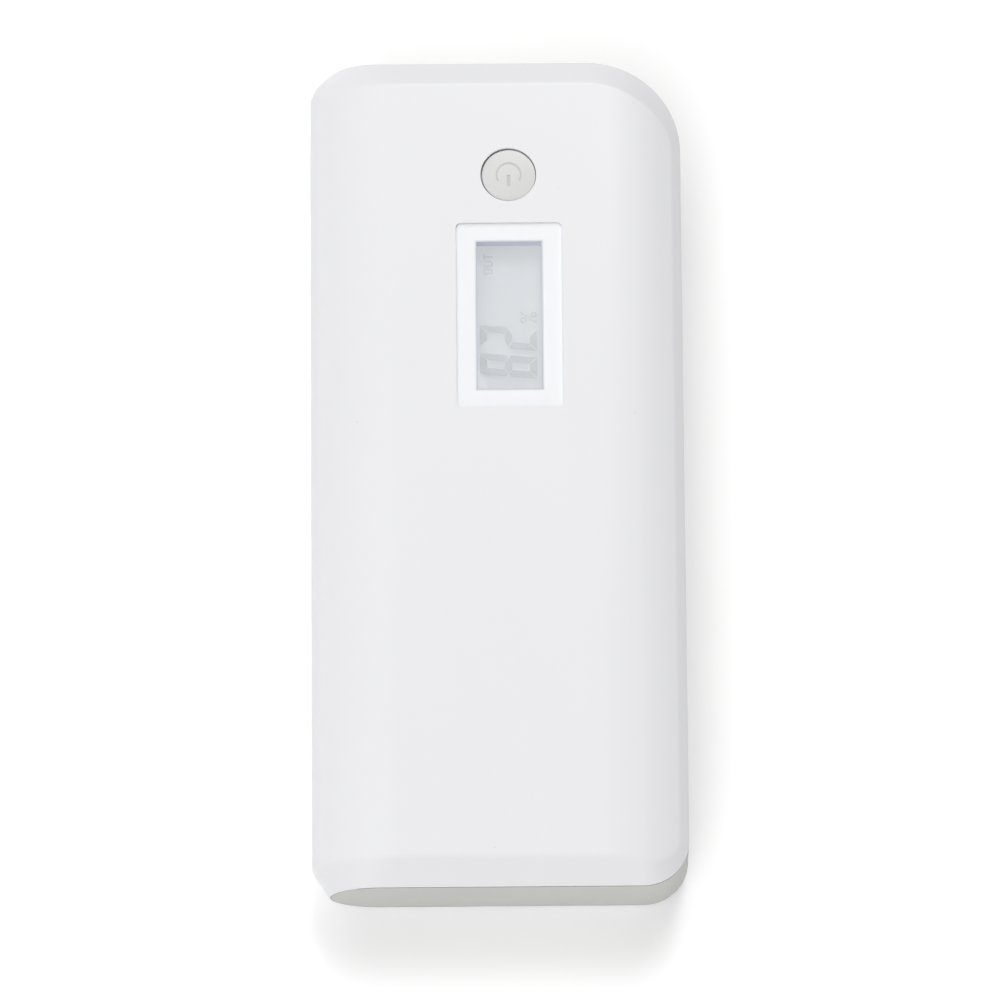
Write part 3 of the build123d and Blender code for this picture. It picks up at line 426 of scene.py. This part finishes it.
# ---------------------------------------------------------------- smoothing of the CAD meshes
def smoothing_group():
    """Modifier group: joins the faces' shared borders and keeps edges over 32 degrees sharp."""
    sharp_angle = math.radians(32)
    group = bpy.data.node_groups.new("smooth_by_angle", "GeometryNodeTree")
    group.interface.new_socket("Geometry", in_out="INPUT", socket_type="NodeSocketGeometry")
    group.interface.new_socket("Geometry", in_out="OUTPUT", socket_type="NodeSocketGeometry")
    start = group.nodes.new("NodeGroupInput")
    end = group.nodes.new("NodeGroupOutput")
    merge = group.nodes.new("GeometryNodeMergeByDistance")
    merge.inputs["Distance"].default_value = 2e-7
    angle = group.nodes.new("GeometryNodeInputMeshEdgeAngle")
    flat = group.nodes.new("FunctionNodeCompare")
    flat.operation = "LESS_THAN"
    flat.inputs[1].default_value = sharp_angle
    faces = group.nodes.new("GeometryNodeSetShadeSmooth")
    faces.domain = "FACE"
    edges = group.nodes.new("GeometryNodeSetShadeSmooth")
    edges.domain = "EDGE"
    link = group.links.new
    link(start.outputs[0], merge.inputs["Geometry"])
    link(merge.outputs["Geometry"], faces.inputs["Geometry"])
    link(faces.outputs["Geometry"], edges.inputs["Geometry"])
    link(angle.outputs["Unsigned Angle"], flat.inputs[0])
    link(flat.outputs[0], edges.inputs["Shade Smooth"])
    link(edges.outputs["Geometry"], end.inputs[0])
    return group


# ---------------------------------------------------------------- dressing the CAD nodes
def dress():
    """Gives every CAD node its material."""
    steel = metal("spring_steel", (0.72, 0.72, 0.73), 0.30)
    tinned = metal("tinned_metal", (0.80, 0.80, 0.82), 0.24)
    nickel = metal("nickel", (0.74, 0.71, 0.66), 0.30, (8, 1, 1))
    can = metal("cell_steel", (0.70, 0.70, 0.71), 0.28)
    gold = metal("contact_gold", (0.85, 0.64, 0.28), 0.22)
    chip = plain_moulding("chip_black", (0.035, 0.035, 0.038), 0.5)
    black = plain_moulding("switch_black", (0.045, 0.045, 0.05), 0.45)
    white_part = plain_moulding("insulator_white", (0.80, 0.80, 0.77), 0.4)
    cover = cover_white()
    table = {
        "front_cover": cover,
        "back_cover": cover,
        "mid_frame": band_grey(),
        "power_button": button_grey(),
        "display_lens": clear_sheet("lens_clear", (0.995, 0.997, 0.998), 0.6, 0.005),
        "lens_mask": mask_white(),
        "display_gasket": gasket_foam(),
        "lcd_front_film": clear_sheet("polariser", (0.985, 0.99, 0.99), bending=True),
        "lcd_front_glass": clear_sheet("front_glass", (0.995, 0.998, 0.997), bending=True),
        "lcd_segments": lcd_ink(),
        "lcd_rear_glass": clear_sheet("rear_glass", (0.995, 0.998, 0.997)),
        "lcd_rear_film": reflector(),
        "light_guide": plain_moulding("light_guide", (0.78, 0.80, 0.82), 0.2),
        "lcd_holder": white_part,
        "backlight_led": plain_moulding("led_body", (0.85, 0.80, 0.55), 0.3),
        "contact_strip": striped_rubber(),
        "switch_base": black,
        "switch_plunger": black,
        "switch_dome": steel,
        "switch_cover": steel,
        "switch_terminals": tinned,
        "main_board": board_green(),
        "board_screws": metal("screw_steel", (0.60, 0.60, 0.62), 0.32),
        "inductor_cores": fibre_card("ferrite", (0.07, 0.07, 0.075)),
        "inductor_coils": wound_coil(),
        "boost_converter": chip,
        "charge_controller": chip,
        "microcontroller": chip,
        "protection_transistors": chip,
        "capacitor_cans": metal("capacitor_can", (0.78, 0.78, 0.80), 0.28, (1, 1, 8)),
        "chip_parts": plain_moulding("chip_ceramic", (0.45, 0.34, 0.22), 0.4),
        "cell_windings": wound_foil(),
        "cell_wraps": shrink_film("wrap_blue", (0.03, 0.16, 0.42)),
        "cell_caps": nickel,
        "cell_rings": fibre_card("ring_card", (0.80, 0.80, 0.76)),
        "row_insulator": fibre_card("card_green", (0.16, 0.38, 0.28)),
        "positive_lead": lead_sleeve("lead_red", (0.55, 0.03, 0.02)),
        "negative_lead": lead_sleeve("lead_black", (0.02, 0.02, 0.02)),
        "upper_cell_tapes": fibre_card("tape_white", (0.84, 0.84, 0.80)),
        "usb_in_shell": tinned,
        "usb_in_insulator": black,
        "usb_in_contacts": gold,
    }
    table["lower_cell_tapes"] = table["upper_cell_tapes"]
    for number in range(1, 6):
        table[f"cell_{number}"] = can
    for row in ("near_negative", "near_positive", "far_negative", "far_positive"):
        table[f"{row}_strip"] = nickel
    for side in ("left", "right"):
        table[f"usb_out_{side}_shell"] = tinned
        table[f"usb_out_{side}_insulator"] = white_part
        table[f"usb_out_{side}_contacts"] = gold
    smooth = smoothing_group()
    for name in ("display_lens", "lcd_front_film", "lcd_front_glass", "lcd_rear_glass"):
        NODES[name].visible_shadow = False
        NODES[name].visible_diffuse = False
    for name, piece in NODES.items():
        piece.data.materials.clear()
        piece.data.materials.append(table[name])
        modifier = piece.modifiers.new("smooth", "NODES")
        modifier.node_group = smooth


# ---------------------------------------------------------------- stage, light and camera
def floor():
    """Pale floor that runs out of sight on every side; it glows a little."""
    reach = 60.0
    corners = [(-reach, -reach, 0), (reach, -reach, 0), (reach, reach, 0), (-reach, reach, 0)]
    mesh = bpy.data.meshes.new("floor")
    mesh.from_pydata(corners, [], [(0, 1, 2, 3)])
    piece = bpy.data.objects.new("floor", mesh)
    piece.location.z = -0.02 * MM
    bpy.context.scene.collection.objects.link(piece)
    g = Graph("floor_paper")
    tone = g.blend(g.noise(90.0, 2.0), (0.93, 0.93, 0.93), (0.94, 0.94, 0.94))
    glow = {"Emission_Color": (1.0, 1.0, 1.0), "Emission_Strength": 0.132}
    mesh.materials.append(g.finish(g.surface(tone, 0.9, **glow)))


def world_light():
    """Two soft boxes, over the near left and over the far end, in a dim sky that leans.

    Each box is a soft oval patch of the sky: its level, the x and y of its direction, and its
    half widths. The sky falls off towards +X and +Y, down to its dimmest level.
    """
    sky_level, sky_lean, sky_dim = 0.119, (0.95, 0.65), 0.02
    boxes = (
        (2.06, (-0.22, -0.42), (0.36, 1.20)),
        (11.9, (0.115, 0.585), (0.165, 0.165)),
    )
    world = bpy.data.worlds.new("studio")
    bpy.context.scene.world = world
    world.use_nodes = True
    nodes, link = world.node_tree.nodes, world.node_tree.links.new
    nodes.clear()

    def maths(operation, first, second=0.0):
        node = nodes.new("ShaderNodeMath")
        node.operation = operation
        for socket, value in zip(node.inputs, (first, second)):
            if isinstance(value, bpy.types.NodeSocket):
                link(value, socket)
            else:
                socket.default_value = value
        return node.outputs[0]

    direction = nodes.new("ShaderNodeTexCoord")
    split = nodes.new("ShaderNodeSeparateXYZ")
    link(direction.outputs["Generated"], split.inputs[0])
    light = 0.0
    for level, centre, widths in boxes:
        squares = []
        for axis, middle, width in zip(("X", "Y"), centre, widths):
            offset = maths("DIVIDE", maths("SUBTRACT", split.outputs[axis], middle), width)
            squares.append(maths("MULTIPLY", offset, offset))
        falloff = maths("EXPONENT", maths("MULTIPLY", maths("ADD", *squares), -1.0))
        light = maths("ADD", light, maths("MULTIPLY", falloff, level))
    above = maths("GREATER_THAN", split.outputs["Z"], 0.0)
    leans = [maths("MULTIPLY", split.outputs[axis], slope) for axis, slope in zip("XY", sky_lean)]
    leant = maths("MULTIPLY", maths("SUBTRACT", 1.0, maths("ADD", *leans)), sky_level)
    sky_light = maths("MAXIMUM", leant, sky_dim)
    sky = nodes.new("ShaderNodeBackground")
    link(maths("ADD", maths("MULTIPLY", light, above), sky_light), sky.inputs[1])
    seen = nodes.new("ShaderNodeBackground")
    path = nodes.new("ShaderNodeLightPath")
    pick = nodes.new("ShaderNodeMixShader")
    out = nodes.new("ShaderNodeOutputWorld")
    sky.inputs[0].default_value = (1.0, 1.0, 1.0, 1.0)
    seen.inputs[0].default_value = (1.0, 1.0, 1.0, 1.0)
    link(path.outputs["Is Camera Ray"], pick.inputs[0])
    link(sky.outputs[0], pick.inputs[1])
    link(seen.outputs[0], pick.inputs[2])
    link(pick.outputs[0], out.inputs[0])


def camera():
    """Long lens, almost overhead, tipped back from the near end."""
    elevation, roll = math.radians(73.6), math.radians(-0.455)
    distance = 1.8855
    target = Vector((0.443, -3.653, BODY_MID.z / MM)) * MM
    back = Vector((0.0, -math.cos(elevation), math.sin(elevation)))
    right, up = Vector((1, 0, 0)), Vector((0, math.sin(elevation), math.cos(elevation)))
    turned_right = right * math.cos(roll) + up * math.sin(roll)
    turned_up = up * math.cos(roll) - right * math.sin(roll)
    data = bpy.data.cameras.new("camera")
    data.sensor_width, data.lens = 36.0, 360.0
    data.clip_start, data.clip_end = 0.05, 200.0
    piece = bpy.data.objects.new("camera", data)
    bpy.context.scene.collection.objects.link(piece)
    axes = Matrix((turned_right, turned_up, back)).transposed().to_4x4()
    piece.matrix_world = Matrix.Translation(target + back * distance) @ axes
    bpy.context.scene.camera = piece


dress()
floor()
world_light()
camera()
bpy.context.scene.view_settings.view_transform = "Standard"
